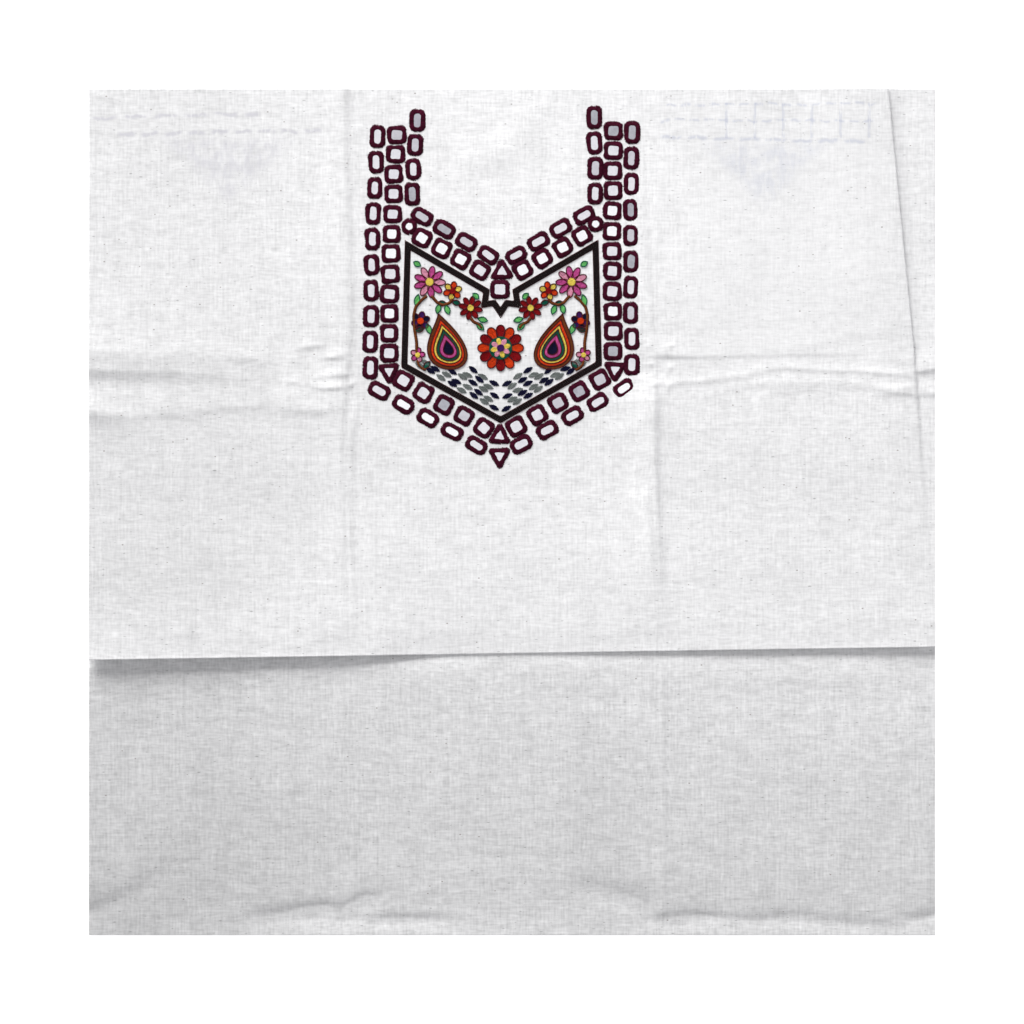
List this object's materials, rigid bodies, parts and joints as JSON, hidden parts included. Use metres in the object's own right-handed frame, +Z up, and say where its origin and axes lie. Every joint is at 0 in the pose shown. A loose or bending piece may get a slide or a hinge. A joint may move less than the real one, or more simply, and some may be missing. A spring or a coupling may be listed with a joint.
{
  "type": "mirror work embroidered fabric",
  "caption": "Off-white cotton length lying in a pleat across and a slanted side pleat, with an embroidered yoke panel edged by small cut mirrors held in stitched rings.",
  "frame": {"origin": "on the floor under the middle of the cloth's square outline", "axes": "+Z up from the floor, +Y towards the neck of the yoke, +X to the right with the yoke upright"},
  "size_m": [0.846, 0.846, 0.0152],
  "materials": {
    "cotton": "matt slubby plain weave",
    "mirror_glass": "polished",
    "embroidery_thread": "soft satin stitches in many colours"
  },
  "bodies": {
    "root": {"fabric": "cotton", "mirror_square_01": "mirror_glass", "mirror_square_02": "mirror_glass", "mirror_square_03": "mirror_glass", "mirror_square_04": "mirror_glass", "mirror_square_05": "mirror_glass", "mirror_square_06": "mirror_glass", "mirror_square_07": "mirror_glass", "mirror_square_08": "mirror_glass", "mirror_square_09": "mirror_glass", "mirror_square_10": "mirror_glass", "mirror_square_11": "mirror_glass", "mirror_square_12": "mirror_glass", "mirror_square_13": "mirror_glass", "mirror_square_14": "mirror_glass", "mirror_square_15": "mirror_glass", "mirror_square_16": "mirror_glass", "mirror_square_17": "mirror_glass", "mirror_square_18": "mirror_glass", "mirror_square_19": "mirror_glass", "mirror_square_20": "mirror_glass", "mirror_square_21": "mirror_glass", "mirror_square_22": "mirror_glass", "mirror_square_23": "mirror_glass", "mirror_square_24": "mirror_glass", "mirror_square_25": "mirror_glass", "mirror_square_26": "mirror_glass", "mirror_square_27": "mirror_glass", "mirror_square_28": "mirror_glass", "mirror_square_29": "mirror_glass", "mirror_square_30": "mirror_glass", "mirror_square_31": "mirror_glass", "mirror_square_32": "mirror_glass", "mirror_square_33": "mirror_glass", "mirror_square_34": "mirror_glass", "mirror_square_35": "mirror_glass", "mirror_square_36": "mirror_glass", "mirror_square_37": "mirror_glass", "mirror_square_38": "mirror_glass", "mirror_square_39": "mirror_glass", "mirror_square_40": "mirror_glass", "mirror_square_41": "mirror_glass", "mirror_square_42": "mirror_glass", "mirror_square_43": "mirror_glass", "mirror_triangle_01": "mirror_glass", "mirror_triangle_02": "mirror_glass", "mirror_triangle_03": "mirror_glass", "mirror_triangle_04": "mirror_glass", "mirror_triangle_05": "mirror_glass", "mirror_disc_01": "mirror_glass", "mirror_disc_02": "mirror_glass"}
  },
  "joints": []
}
